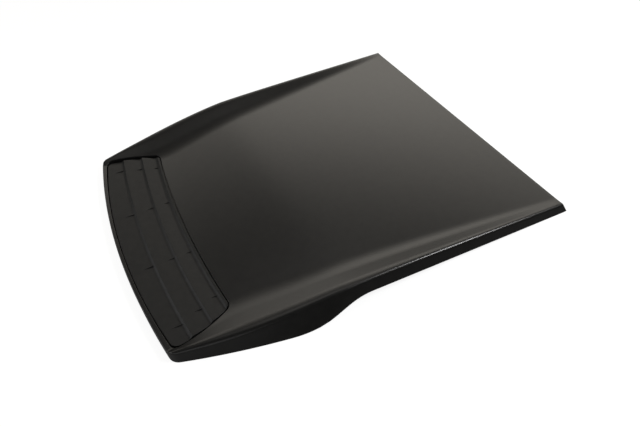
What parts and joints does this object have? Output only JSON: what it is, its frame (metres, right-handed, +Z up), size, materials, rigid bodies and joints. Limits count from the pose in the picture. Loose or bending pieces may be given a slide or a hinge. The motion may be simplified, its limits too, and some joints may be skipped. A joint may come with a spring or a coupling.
{
  "type": "hood center molding",
  "caption": "Wide dished plastic cover for the middle of a car bonnet, with raised side rails, an S-curved skirt and a stepped louvre insert at its front edge.",
  "frame": {"origin": "middle of the footprint, on the surface the panel rests on", "axes": "-Y towards the front of the car, +X towards the side nearest in the picture, +Z up"},
  "size_m": [0.807, 0.938, 0.0489],
  "materials": {
    "panel_plastic": "satin black, fine moulded grain",
    "insert_plastic": "matt black, grained"
  },
  "bodies": {
    "root": {"outer_panel": "panel_plastic", "louvre_insert": "insert_plastic"}
  },
  "joints": []
}
